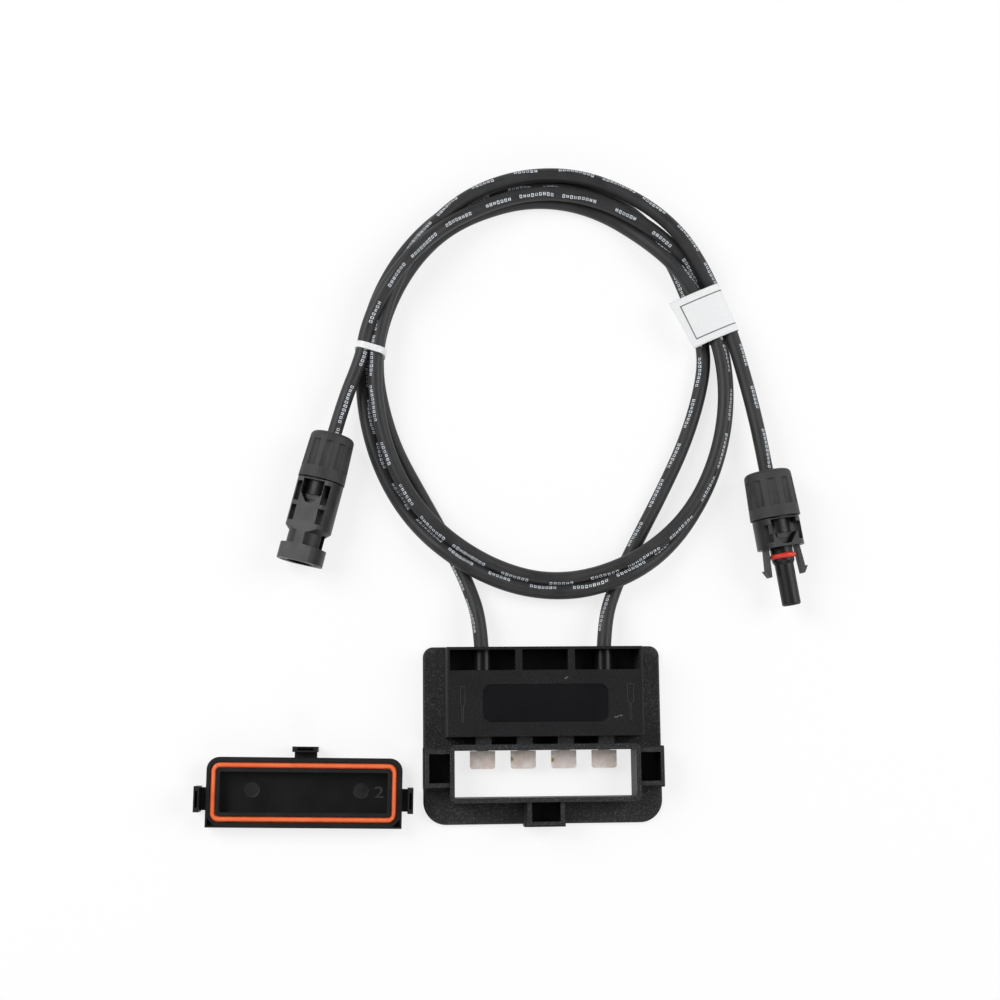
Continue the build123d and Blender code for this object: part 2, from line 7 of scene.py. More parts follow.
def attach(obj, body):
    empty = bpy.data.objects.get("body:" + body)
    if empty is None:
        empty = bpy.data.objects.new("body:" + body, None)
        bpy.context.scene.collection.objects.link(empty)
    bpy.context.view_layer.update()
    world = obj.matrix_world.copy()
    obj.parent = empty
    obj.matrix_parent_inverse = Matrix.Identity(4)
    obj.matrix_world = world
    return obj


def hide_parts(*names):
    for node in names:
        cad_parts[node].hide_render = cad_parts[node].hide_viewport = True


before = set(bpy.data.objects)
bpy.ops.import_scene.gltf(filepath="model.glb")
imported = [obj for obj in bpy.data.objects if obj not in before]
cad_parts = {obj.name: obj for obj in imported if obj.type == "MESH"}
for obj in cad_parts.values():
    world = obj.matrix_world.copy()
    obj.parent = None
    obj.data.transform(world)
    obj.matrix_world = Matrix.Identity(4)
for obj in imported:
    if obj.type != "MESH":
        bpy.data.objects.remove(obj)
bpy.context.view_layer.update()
mm = 0.001

# Camera: almost straight above the box, leaning a little towards the coil.
cameraFacts = {
    "place": (-70.2, -3.7, 690.3),
    "looks": (0.0764, 0.1475, -0.9861),
    "up": (-0.0012, 0.9890, 0.1479),
    "lens": 58.86,
    "clip": (0.01, 20),
}


def makeCamera(facts):
    ahead = Vector(facts["looks"]).normalized()
    right = ahead.cross(Vector(facts["up"])).normalized()
    up = right.cross(ahead)
    turn = Matrix((right, up, -ahead)).transposed().to_4x4()
    camera = bpy.data.objects.new("camera", bpy.data.cameras.new("camera"))
    camera.matrix_world = Matrix.Translation(Vector(facts["place"]) * mm) @ turn
    camera.data.lens = facts["lens"]
    camera.data.clip_start, camera.data.clip_end = facts["clip"]
    bpy.context.scene.collection.objects.link(camera)
    bpy.context.scene.camera = camera


makeCamera(cameraFacts)
print("camera placed")

# The two leads. Each lies straight out of the box, under the coil, round it and out to its connector.
coilFacts = {
    "middle": (4.5, 149.5),
    "half": (76.0, 86.5),
    "step": 8.5,
    "radius": 3.05,
    "sides": 20,
    "resolution": 10,
    "sharpEdge": 60,
}
# Lanes round the coil: angle in degrees, mm outside the middle oval, height of the strand's middle.
leads = {
    "leftCable": {
        "start": [
            (-25.425, 23.25, 8.0), (-25.425, 45.4, 8.0), (-31.8, 65.2, 3.2),
            (-41.0, 83.3, 3.05), (-51.4, 102.0, 3.05),
        ],
        "lanes": [
            (-156, -6.0, 3.05), (-170, -4.4, 3.11), (-182, -2.0, 3.55), (-190, -1.0, 4.27),
            (-200, -1.0, 3.55), (-230, -1.6, 3.05), (-250, -3.8, 3.05), (-285, -4.8, 3.05),
            (-300, -5.4, 3.77), (-310, -5.4, 6.65), (-320, -4.4, 9.09), (-332, -2.9, 8.43),
            (-342, -1.4, 8.21), (-356, 0.0, 8.65), (-371, 0.4, 8.98), (-400, 1.0, 8.98),
            (-415, 0.0, 9.15), (-428, -0.8, 9.21), (-440, -1.3, 6.21), (-452, -1.9, 3.77),
            (-464, -2.6, 6.21), (-478, -2.9, 9.21), (-505, -2.0, 8.98), (-528, -1.8, 8.98),
            (-541, -1.2, 9.76), (-550, -0.8, 10.37), (-560, -0.6, 9.54), (-575, 0.8, 9.09),
            (-592, 2.5, 8.87), (-603, 4.2, 8.76), (-630, 5.9, 8.76), (-640, 6.4, 8.87),
            (-655, 6.0, 9.6), (-668, 5.6, 12.2), (-678, 5.0, 13.0), (-686, 4.6, 11.4),
            (-694, 4.6, 9.3), (-703, 5.3, 8.65),
        ],
        "end": [(85.9, 164.5, 9.15), (91.3, 143.0, 9.4), (95.16, 122.06, 10.7), (99.6, 93.4, 10.7)],
        "exit": (-25.425, 36.0, 8.0),
        "on": ["left_lead", "right_tail"],
        "plug": [
            "right_connector_body", "right_gland_nut", "right_clamp_cage",
            "right_cable_seal", "socket_contact", "plug_o_ring",
        ],
        "printAt": (-0.17, -0.07),
    },
    "rightCable": {
        "start": [
            (25.425, 23.25, 8.0), (25.425, 45.4, 8.0), (32.8, 64.8, 3.2), (42.0, 82.4, 3.05),
            (52.8, 102.4, 3.05), (63.4, 124.0, 3.05), (70.7, 146.0, 3.05), (73.4, 163.0, 3.05),
        ],
        "lanes": [
            (22, -5.6, 3.05), (32, -5.0, 3.05), (45, -1.5, 3.05), (60, 2.4, 3.05), (88, 3.3, 3.05),
            (110, 4.0, 3.05), (150, 4.6, 3.11), (162, 4.6, 3.66), (170, 4.5, 4.27), (178, 4.2, 3.55),
            (190, 3.5, 3.05), (221, 2.9, 3.05), (229, 2.9, 6.21), (236, 2.9, 9.21), (243, 2.9, 9.21),
            (255, 3.0, 5.99), (267, 3.5, 3.99), (279, 4.5, 7.0), (287, 4.7, 10.0), (295, 4.8, 10.0),
            (307, 4.6, 5.99), (320, 3.4, 3.22), (335, 2.7, 3.05), (366, 2.0, 3.05), (380, 1.6, 3.05),
            (387, 1.8, 3.33), (396, 1.6, 6.88), (404, 0.6, 9.21), (411, -0.8, 9.21), (430, -1.9, 8.98),
            (450, -2.5, 8.87), (473, -3.0, 8.87), (487, -1.8, 11.5), (498, -0.8, 15.2), (506, 0.6, 15.7),
            (514, 2.4, 14.5), (521, 4.1, 12.0), (527, 4.7, 10.5),
        ],
        "end": [(-75.4, 160.0, 9.87), (-84.5, 137.12, 9.95), (-91.76, 109.04, 9.95)],
        "exit": (25.425, 36.0, 8.0),
        "on": ["right_lead", "left_tail", "cable_coil"],
        "plug": [
            "left_connector_body", "left_gland_nut", "left_clamp_cage", "left_cable_seal", "pin_contact",
        ],
        "printAt": (-0.13, -0.05),
    },
}


# A point of a turn is the middle oval's point at that angle, moved outwards by its lane and raised.
def coilTurns(lanes, facts):
    angles, outs, heights = np.array(lanes, float).T
    count = int(round(abs(angles[-1] - angles[0]) / facts["step"])) + 1
    at = np.linspace(angles[0], angles[-1], count)
    order = np.argsort(angles)
    out = np.interp(at, angles[order], outs[order])
    height = np.interp(at, angles[order], heights[order])
    turn = np.radians(at)
    wide, tall = facts["half"]
    oval = np.stack([wide * np.cos(turn), tall * np.sin(turn)], 1)
    outwards = np.stack([tall * np.cos(turn), wide * np.sin(turn)], 1)
    outwards /= np.linalg.norm(outwards, axis=1)[:, None]
    flat = np.array(facts["middle"]) + oval + outwards * out[:, None]
    return np.column_stack([flat, height])


# The route's smooth line, read from a spline of the second degree that its points guide.
def smoothLine(name, points, resolution):
    curve = bpy.data.curves.new(name + "Route", "CURVE")
    curve.dimensions = "3D"
    spline = curve.splines.new("NURBS")
    spline.points.add(len(points) - 1)
    spline.points.foreach_set("co", np.column_stack([points, np.ones(len(points))]).ravel())
    spline.order_u = 3
    spline.use_endpoint_u = True
    curve.resolution_u = resolution
    route = bpy.data.objects.new(name + "Route", curve)
    bpy.context.scene.collection.objects.link(route)
    bpy.context.view_layer.update()
    line = bpy.data.meshes.new_from_object(route)
    spots = np.empty(len(line.vertices) * 3)
    line.vertices.foreach_get("co", spots)
    bpy.data.objects.remove(route)
    bpy.data.meshes.remove(line)
    spots = spots.reshape(-1, 3)
    apart = np.linalg.norm(np.diff(spots, axis=0), axis=1) > 1e-7
    return spots[np.r_[True, apart]]


def addPiece(name, mesh):
    piece = bpy.data.objects.new(name, mesh)
    bpy.context.scene.collection.objects.link(piece)
    return piece


# A mesh from a grid of points: rows run along, and columns run across or, closed, round.
# Its map may hold the share of the way round in v, which goes on to 1 in the closing column.
def gridMesh(name, grid, closeRound=False, caps=False, coords=None):
    rows, columns = grid.shape[:2]
    index = np.arange(rows * columns).reshape(rows, columns)
    if closeRound:
        index = np.column_stack([index, index[:, 0]])
    quads = np.stack([index[:-1, :-1], index[:-1, 1:], index[1:, 1:], index[1:, :-1]], -1).reshape(-1, 4)
    faces = quads.tolist()
    if caps:
        faces += [index[0, :columns][::-1].tolist(), index[-1, :columns].tolist()]
    mesh = bpy.data.meshes.new(name)
    mesh.from_pydata(grid.reshape(-1, 3).tolist(), [], faces)
    if coords is not None:
        layer = mesh.uv_layers.new(name="UVMap")
        corner = np.empty(len(mesh.loops), int)
        mesh.loops.foreach_get("vertex_index", corner)
        spread = coords.reshape(-1, 2)[corner]
        around = spread[: quads.size].reshape(-1, 4, 2)[..., 1]
        closing = np.ptp(around, axis=1, keepdims=True) > 0.5
        around += closeRound * closing * (around < 0.5)
        layer.data.foreach_set("uv", spread.ravel())
    mesh.update()
    return addPiece(name, mesh)


# A tube: at each point of the line a ring lies across it, with its angle counted from straight up.
# The map's u is the length in mm and its v is the share of the way round.
def tubeAlong(name, line, radius, sides):
    ahead = np.vstack([line[1] - line[0], line[2:] - line[:-2], line[-1] - line[-2]])
    ahead /= np.linalg.norm(ahead, axis=1)[:, None]
    side = np.cross(ahead, (0, 0, 1.0))
    side /= np.linalg.norm(side, axis=1)[:, None]
    over = np.cross(side, ahead)
    turn = np.linspace(0, 2 * np.pi, sides, endpoint=False)
    ring = over[:, None] * np.cos(turn)[None, :, None] + side[:, None] * np.sin(turn)[None, :, None]
    grid = line[:, None] + ring * radius
    along = np.r_[0, np.cumsum(np.linalg.norm(np.diff(line, axis=0), axis=1))] / mm
    coords = np.stack(np.broadcast_arrays(along[:, None], (turn / (2 * np.pi))[None]), -1)
    return gridMesh(name, grid, closeRound=True, caps=True, coords=coords)


# Smooth faces, with the edges sharper than the angle kept; an angle of 0 keeps none.
def shadeSmooth(piece, angle):
    piece.data.polygons.foreach_set("use_smooth", np.ones(len(piece.data.polygons), bool))
    if angle:
        piece.data.set_sharp_from_angle(angle=math.radians(angle))
    return piece


def makeLead(name, facts):
    turns = coilTurns(facts["lanes"], coilFacts)
    points = np.vstack([facts["start"], turns, facts["end"]]) * mm
    line = smoothLine(name, points, coilFacts["resolution"])
    lead = tubeAlong(name, line, coilFacts["radius"] * mm, coilFacts["sides"])
    shadeSmooth(lead, coilFacts["sharpEdge"])
    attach(lead, "box")
    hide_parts(*facts["on"])
    [v * mm for v in facts["exit"]]
    return lead


leadPieces = {name: makeLead(name, facts) for name, facts in leads.items()}


# Shader maths: a wire is one socket, and an expression on wires adds Math nodes.
class Wire:
    def __init__(self, look, socket):
        self.look, self.socket = look, socket

    def maths(self, operation, *values):
        return self.look.node("ShaderNodeMath", {"operation": operation}, dict(enumerate(values)))

    def __add__(self, other):
        return self.maths("ADD", self, other)

    def __sub__(self, other):
        return self.maths("SUBTRACT", self, other)

    def __rsub__(self, other):
        return self.maths("SUBTRACT", other, self)

    def __mul__(self, other):
        return self.maths("MULTIPLY", self, other)

    def __truediv__(self, other):
        return self.maths("DIVIDE", self, other)

    def __rtruediv__(self, other):
        return self.maths("DIVIDE", other, self)

    def __gt__(self, other):
        return self.maths("GREATER_THAN", self, other)

    def __lt__(self, other):
        return self.maths("LESS_THAN", self, other)

    def __abs__(self):
        return self.maths("ABSOLUTE", self)

    __radd__, __rmul__ = __add__, __mul__

    def floor(self):
        return self.maths("FLOOR", self)

    def fraction(self):
        return self.maths("FRACT", self)

    def least(self, other):
        return self.maths("MINIMUM", self, other)

    def most(self, other):
        return self.maths("MAXIMUM", self, other)

    def root(self):
        return self.maths("SQRT", self)

    def ramp(self, low, high, fromValue=0.0, toValue=1.0):
        values = {"Value": self, "From Min": low, "From Max": high, "To Min": fromValue, "To Max": toValue}
        return self.look.node("ShaderNodeMapRange", {"clamp": True}, values)


# A look is the node tree of one material, or of the world, with short ways to add nodes to it.
class Look:
    def __init__(self, name, owner=None):
        self.material = owner or bpy.data.materials.new(name)
        self.material.use_nodes = True
        self.tree = self.material.node_tree
        self.surface = self.tree.nodes.get("Principled BSDF")

    def node(self, kind, settings=None, values=None, out=0):
        made = self.tree.nodes.new(kind)
        for key, value in (settings or {}).items():
            setattr(made, key, value)
        for key, value in (values or {}).items():
            self.feed(made.inputs[key], value)
        return Wire(self, made.outputs[out])

    def feed(self, socket, value):
        if isinstance(value, Wire):
            self.tree.links.new(value.socket, socket)
        elif isinstance(value, tuple) and len(value) == 3 and socket.type == "RGBA":
            socket.default_value = (*value, 1)
        else:
            socket.default_value = value

    def set(self, **values):
        for key, value in values.items():
            self.feed(self.surface.inputs[key.replace("_", " ")], value)
        return self

    def place(self):
        return self.node("ShaderNodeTexCoord", out="Object")

    def axes(self, source=None):
        split = self.node("ShaderNodeSeparateXYZ", None, {"Vector": source or self.place()})
        return [Wire(self, socket) for socket in split.socket.node.outputs]

    def noise(self, size, detail=2.0, rough=0.5, source=None):
        values = {"Vector": source or self.place(), "Scale": 1 / (size * mm)}
        values |= {"Detail": detail, "Roughness": rough}
        return self.node("ShaderNodeTexNoise", {"normalize": True}, values)

    def lineNoise(self, kind, at, **values):
        return self.node(kind, {"noise_dimensions": "1D"}, {"W": at, **values})

    def cells(self, size):
        values = {"Vector": self.place(), "Scale": 1 / (size * mm)}
        return self.node("ShaderNodeTexVoronoi", {"feature": "F1"}, values)

    def mix(self, share, low, high):
        return self.node("ShaderNodeMix", {"data_type": "RGBA"}, {"Factor": share, 6: low, 7: high}, out=2)

    def bump(self, height, depth, strength=1.0):
        values = {"Height": height, "Distance": depth * mm, "Strength": strength}
        return self.node("ShaderNodeBump", None, values)


# Mask of a level rounded rectangle, in mm: 1 inside it, with a soft edge.
def panelMask(look, middle, half, corner, source=None, edge=0.15):
    x, y = look.axes(source)[:2]
    dx = (abs(x / mm - middle[0]) - (half[0] - corner)).most(0.0)
    dy = (abs(y / mm - middle[1]) - (half[1] - corner)).most(0.0)
    reach = (dx * dx + dy * dy).root()
    return reach.ramp(corner, corner - edge)


# Mask of a short scratch, in mm: it lies along its angle and fades out towards its sides and ends.
def scuffMask(x, y, middle, angle, long, halfWidth=(0.45, 0.15)):
    c, s = math.cos(math.radians(angle)), math.sin(math.radians(angle))
    dx, dy = x - middle[0], y - middle[1]
    return abs(dx * c + dy * s).ramp(long, long * 0.5) * abs(dy * c - dx * s).ramp(*halfWidth)


# Heights and places in mm. Pockets and latch sockets are smooth below their mouths, and painted darker
# there as shade.
mouldedFacts = {
    "dark": (0.0095, 0.0096, 0.0104),
    "light": (0.037, 0.0372, 0.039),
    "glint": (0.15, 0.15, 0.155),
    # The smooth colour also paints shade on the top faces and in the pockets and latch sockets.
    "smooth": (0.0060, 0.0061, 0.0072),
    "scuff": (0.22, 0.22, 0.22),
    "grain": 0.46,
    "cloud": 14.0,
    "depth": 0.07,
    "specular": 0.22,
    "top": (16.3, 16.4),
    "panel": ((0, 12.8), (26.0, 7.8), 3.8),
    "pockets": {"half": 39.3, "front": 26.0, "back": 35.0, "floor": 2.9, "mouth": (16.2, 15.6)},
    "sockets": [((43.6, -13.5), (4.4, 6.0)), ((-43.6, -13.5), (4.4, 6.0)), ((0, -31.5), (6.0, 4.1))],
    "socketMouth": (12.8, 12.2),
    "scuffs": [((8.7, 23.0), 40, 0.9), ((29.9, 7.0), 17, 2.3)],
}


# Textured plastic: fine grain with painted glints at its peaks, smooth and darker where the mould is
# polished; the darkening of the top faces and of the pockets and latch sockets is painted shade.
def mouldedPlastic(facts):
    look = Look("texturedBlackPlastic")
    grain = look.noise(facts["grain"], 3.0, 0.62)
    cloud = look.noise(facts["cloud"], 2.0)
    x, y, z = [axis / mm for axis in look.axes()]
    onTop = z.ramp(*facts["top"])
    pockets = facts["pockets"]
    inPockets = (y > pockets["front"]) * (y < pockets["back"]) * (abs(x) < pockets["half"])
    smooth = panelMask(look, *facts["panel"]) * onTop
    # Pockets and latch sockets: smooth, and their darker colour is painted shade.
    smooth = smooth.most(inPockets * (z > pockets["floor"]) * z.ramp(*pockets["mouth"]))
    for (sx, sy), (wide, deep) in facts["sockets"]:
        smooth = smooth.most((abs(x - sx) < wide) * (abs(y - sy) < deep) * z.ramp(*facts["socketMouth"]))
    # Painted glints: pale specks on the grain's peaks, none where smooth and fewer on the top faces.
    glints = grain.ramp(0.56, 0.74) * (1 - smooth) * cloud.ramp(0.3, 0.7, 0.40, 0.95) * (1 - onTop * 0.6)
    first, second = [scuffMask(x, y, *scuff) for scuff in facts["scuffs"]]
    scuffed = first.most(second) * onTop * look.noise(0.6, 2.0).ramp(0.42, 0.6)
    base = look.mix(grain.ramp(0.3, 0.7), facts["dark"], facts["light"])
    # Painted shade: the top faces are darkened most of the way to the smooth colour.
    base = look.mix(onTop * 0.9, base, facts["smooth"])
    base = look.mix(smooth, base, facts["smooth"])
    base = look.mix(glints, base, facts["glint"])
    base = look.mix(scuffed * 0.75, base, facts["scuff"])
    rough = cloud.ramp(0.3, 0.7, 0.46, 0.56) - smooth * 0.2
    relief = look.bump(grain * (1 - smooth * 0.94), facts["depth"])
    look.set(Base_Color=base, Roughness=rough, Specular_IOR_Level=facts["specular"], Normal=relief)
    return look.material


lidFacts = {
    "place": (-98.7, -22.7),
    "turn": -1.2,
    "floor": 2.0,
    "middle": (-0.3, 0.1),
    "recess": (34.15, 8.2),
    "corner": 0.6,
    "low": (2.6, 2.2),
    "dark": (0.0035, 0.0036, 0.0042),
    "light": (0.0095, 0.0098, 0.0105),
    "polished": ((0.0035, 0.0037, 0.0042), (0.0085, 0.0085, 0.009)),
    "grain": 0.34,
    "cloud": 11.0,
    "mist": 38.46,
    "depth": 0.03,
    "specular": 0.4,
}


# The lid is the same plastic, finer, and its recess floor is polished by the mould.
def lidPlastic(facts):
    look = Look("lidBlackPlastic")
    shift = (-facts["place"][0] * mm, -facts["place"][1] * mm, 0)
    turn = (0, 0, -math.radians(facts["turn"]))
    point = {"vector_type": "POINT"}
    moved = look.node("ShaderNodeMapping", point, {"Vector": look.place(), "Location": shift})
    own = look.node("ShaderNodeMapping", point, {"Vector": moved, "Rotation": turn})
    grain = look.noise(facts["grain"], 3.0, 0.6)
    cloud = look.noise(facts["cloud"], 2.0)
    mist = look.noise(facts["mist"], 1.0, source=own).ramp(0.35, 0.7)
    low = (look.axes(own)[2] / mm).ramp(*facts["low"])
    smooth = panelMask(look, facts["middle"], facts["recess"], facts["corner"], own) * low
    base = look.mix(grain.ramp(0.35, 0.7), facts["dark"], facts["light"])
    base = look.mix(smooth, base, look.mix(mist, *facts["polished"]))
    rough = cloud.ramp(0.3, 0.7, 0.38, 0.48) - smooth * 0.12
    relief = look.bump(grain * (1 - smooth * 0.95), facts["depth"], 0.8)
    look.set(Base_Color=base, Roughness=rough, Specular_IOR_Level=facts["specular"], Normal=relief)
    return look.material


# Axes: where each connector's starts, in mm, and its heading in degrees. A shell is dark inside this reach.
connectorFacts = {
    "axes": [((-87.5, 125.5, 9.95), 255.5), ((97.0, 110.2, 10.7), 278.8)],
    "inside": 7.0,
    "shade": (0.003, 0.003, 0.0035),
    "flow": (0.07, 0.07, 0.072),
    "specular": 0.32,
}
# Of each plastic, its dark and its light colour, its roughness and the depth of its grain in mm.
plasticFacts = {
    "nutBlackPlastic": ((0.030, 0.0302, 0.031), (0.046, 0.0463, 0.047), 0.60, 0.05),
    "bodyBlackPlastic": ((0.013, 0.0133, 0.0145), (0.024, 0.0244, 0.0262), 0.42, 0.015),
    "diodeEpoxy": ((0.01, 0.01, 0.01), (0.02, 0.02, 0.02), 0.3, 0.008),
    "markPlastic": ((0.052, 0.0523, 0.054), (0.072, 0.0723, 0.074), 0.40, 0.01),
    "roundPlastic": ((0.010, 0.0101, 0.011), (0.015, 0.0151, 0.016), 0.42, 0.01),
    "numberFace": ((0.045, 0.045, 0.046), (0.065, 0.065, 0.066), 0.45, 0.01),
}


# Distance from an axis in mm: the root of the squares of how far the place lies aside and above.
def axisDistance(x, y, z, start, heading):
    a = math.radians(heading)
    aside = (x - start[0]) * math.sin(a) - (y - start[1]) * math.cos(a)
    above = z - start[2]
    return (aside * aside + above * above).root()


# Connector plastic: satin, with fine flow lines and a soft spread of gloss, and dark inside a shell.
def connectorPlastic(name, shell=False):
    facts = connectorFacts
    dark, light, rough, depth = plasticFacts[name]
    look = Look(name)
    grain = look.noise(0.28, 3.0, 0.6)
    cloud = look.noise(6.0, 2.0)
    base = look.mix(cloud.ramp(0.3, 0.7), dark, light)
    base = look.mix(grain.ramp(0.62, 0.8) * 0.5, base, facts["flow"])
    if shell:
        place = [axis / mm for axis in look.axes()]
        left, right = [axisDistance(*place, *axis) for axis in facts["axes"]]
        base = look.mix((left.least(right) < facts["inside"]) * 0.85, base, facts["shade"])
    gloss = cloud.ramp(0.3, 0.7, rough - 0.05, rough + 0.05)
    relief = look.bump(grain, depth, 0.8)
    look.set(Base_Color=base, Roughness=gloss, Specular_IOR_Level=facts["specular"], Normal=relief)
    return look.material


# Lengths along the cable are in mm. The print's height and place are shares of the way round, and a
# tick's own heights are shares of the print's.
cableFacts = {
    "dark": (0.022, 0.0222, 0.0235),
    "light": (0.034, 0.0343, 0.036),
    "ink": (0.74, 0.79, 0.84),
    "pitch": 1.75,
    "mark": 1.12,
    "tall": (0.36, 0.5),
    "hollow": (0.30, 0.26),
    "nick": 0.16,
    "nicked": 0.3,
    "height": 0.082,
    "wander": 0.025,
    "group": 11,
    "shown": (5.0, 9.6),
    "length": 1000.0,
    "specular": 0.32,
    "depth": 0.012,
}


# Sheath: satin black with faint drawn lines, and groups of small plain printed ticks along one side.
def cableSheath(name, facts, printAt):
    look = Look(name)
    u, v = look.axes(look.node("ShaderNodeUVMap", {"uv_map": "UVMap"}))[:2]
    cell = (u / facts["pitch"]).floor()
    inCell = (u / facts["pitch"]).fraction() * facts["pitch"]
    first = look.lineNoise("ShaderNodeTexWhiteNoise", cell * 0.731)
    second = look.lineNoise("ShaderNodeTexWhiteNoise", cell * 0.417 + 3.0)
    group = cell / facts["group"]
    third = look.lineNoise("ShaderNodeTexWhiteNoise", group.floor() * 0.613 + 1.0)
    drift = look.lineNoise("ShaderNodeTexNoise", u * 0.011 + printAt[0] * 90, Detail=1.0)
    drift = drift.ramp(0.3, 0.7, -facts["wander"], facts["wander"])
    middle = (u / facts["length"]).ramp(0.0, 1.0, *printAt) + drift
    across = abs((v + 0.5 - middle).fraction() - 0.5) / facts["height"]
    shown = group.fraction() * facts["group"] < third.ramp(0.0, 1.0, *facts["shown"])
    tick = (inCell < facts["mark"]) * (across < first.ramp(0.0, 1.0, *facts["tall"])) * shown
    fromMiddle = abs(inCell - facts["mark"] * 0.5)
    wide, tall = facts["hollow"]
    hollow = (fromMiddle < wide) * (across < tall) * (second > facts["nicked"])
    nick = (fromMiddle < facts["nick"]) * (second < facts["nicked"])
    ink = tick * (1 - hollow.most(nick)) * look.noise(0.5, 2.0).ramp(0.25, 0.55, 0.55, 1.0)
    cloud = look.noise(9.0, 2.0)
    base = look.mix(cloud.ramp(0.3, 0.7), facts["dark"], facts["light"])
    base = look.mix(ink, base, facts["ink"])
    rough = cloud.ramp(0.3, 0.7, 0.42, 0.54) + ink * 0.1
    lines = look.lineNoise("ShaderNodeTexNoise", v * 90.0, Detail=2.0)
    relief = look.bump(lines + look.noise(0.8, 2.0), facts["depth"], 0.7)
    look.set(Base_Color=base, Roughness=rough, Specular_IOR_Level=facts["specular"], Normal=relief)
    return look.material


# Of each soft material, its dark and its light colour and its roughness.
softFacts = {
    "orangeSilicone": ((0.90, 0.145, 0.042), (0.97, 0.190, 0.058), 0.40),
    "redSilicone": ((0.62, 0.030, 0.018), (0.72, 0.045, 0.025), 0.38),
    "pottingCompound": ((0.55, 0.55, 0.54), (0.66, 0.66, 0.65), 0.45),
    "blackRubber": ((0.012, 0.012, 0.012), (0.02, 0.02, 0.02), 0.55),
}


# Silicone, resin and rubber: an even colour with a waxy glow just under the skin.
def rubberLook(name):
    dark, light, rough = softFacts[name]
    look = Look(name)
    cloud = look.noise(7.0, 2.0)
    fine = look.noise(0.5, 3.0)
    base = look.mix(cloud.ramp(0.3, 0.7), dark, light)
    gloss = fine.ramp(0.3, 0.7, rough - 0.04, rough + 0.08)
    look.set(Base_Color=base, Roughness=gloss, Normal=look.bump(fine, 0.02, 0.6))
    look.set(Subsurface_Weight=0.12, Subsurface_Radius=(0.002, 0.0008, 0.0004))
    return look.material


tinFacts = {
    "grey": (0.76, 0.66, 0.60),
    "pale": (0.88, 0.82, 0.78),
    "pink": (0.80, 0.64, 0.57),
    "bright": (0.85, 0.83, 0.80),
    "pitted": (0.22, 0.19, 0.17),
    "brass": (0.42, 0.29, 0.07),
    "spots": [(-13.6, -10.0), (3.4, -10.5)],
    "spotReach": (1.55, 1.15),
}


# Dipped tin: crystalline patches, pits and bright specks, with bare brass where it has worn through.
def tinnedCopper(facts):
    look = Look("tinnedCopper")
    patch = look.noise(2.2, 4.0, 0.65)
    crystal = look.cells(0.55)
    pit = look.noise(0.35, 3.0, 0.7)
    x, y = [axis / mm for axis in look.axes()[:2]]
    base = look.mix(patch.ramp(0.35, 0.65), facts["grey"], facts["pale"])
    base = look.mix(look.noise(3.4, 2.0).ramp(0.45, 0.7) * 0.7, base, facts["pink"])
    base = look.mix(pit.ramp(0.62, 0.74) * 0.8, base, facts["bright"])
    base = look.mix(pit.ramp(0.36, 0.28) * 0.7, base, facts["pitted"])
    for sx, sy in facts["spots"]:
        dx, dy = x - sx, y - sy
        reach = (dx * dx + dy * dy).root()
        base = look.mix((reach + pit * 0.8).ramp(*facts["spotReach"]), base, facts["brass"])
    rough = patch.ramp(0.3, 0.7, 0.36, 0.58)
    relief = look.bump(crystal * 0.5 + pit, 0.05, 0.8)
    look.set(Base_Color=base, Roughness=rough, Metallic=0.25, Normal=relief)
    return look.material


def bareMetal(name, colour, rough):
    look = Look(name)
    scratch = look.noise(0.6, 3.0)
    gloss = scratch.ramp(0.3, 0.7, rough - 0.06, rough + 0.1)
    base = look.mix(look.noise(4.0).ramp(0.3, 0.7), colour, tuple(v * 0.8 for v in colour))
    look.set(Base_Color=base, Roughness=gloss, Metallic=1.0, Normal=look.bump(scratch, 0.01, 0.5))
    return look.material


def nylonLook():
    look = Look("whiteNylon")
    cloud = look.noise(1.2, 2.0)
    base = look.mix(cloud.ramp(0.3, 0.7), (0.74, 0.75, 0.76), (0.84, 0.85, 0.86))
    gloss = cloud.ramp(0.3, 0.7, 0.36, 0.48)
    return look.set(Base_Color=base, Roughness=gloss, Normal=look.bump(cloud, 0.03, 0.5)).material


# Coated paper: white with faint fibre and a thin printed frame, three sides of it, in its map's mm.
def paperLook(facts):
    look = Look("labelPaper")
    u, v = look.axes(look.node("ShaderNodeUVMap", {"uv_map": "UVMap"}))[:2]
    fromFold, fromSide = facts["frameInset"]
    edge = (u - fromFold).least(v - fromSide).least(facts["long"] - fromSide - v)
    frameLine = (edge > 0.0) * (edge < facts["line"])
    fibre = look.noise(0.7, 4.0, 0.6)
    base = look.mix(fibre.ramp(0.3, 0.7), *facts["paper"])
    base = look.mix(frameLine * 0.9, base, facts["ink"])
    gloss = fibre.ramp(0.3, 0.7, 0.42, 0.55)
    return look.set(Base_Color=base, Roughness=gloss, Normal=look.bump(fibre, 0.01, 0.5)).material


def dress(material, nodes):
    for node in nodes:
        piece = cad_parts[node]
        piece.data.materials.clear()
        piece.data.materials.append(material)


terminals = [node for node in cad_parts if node.startswith("terminal_")]
diodes = [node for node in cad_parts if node.startswith("bypass")]
bodies = ["left_connector_body", "right_connector_body", "left_clamp_cage", "right_clamp_cage"]

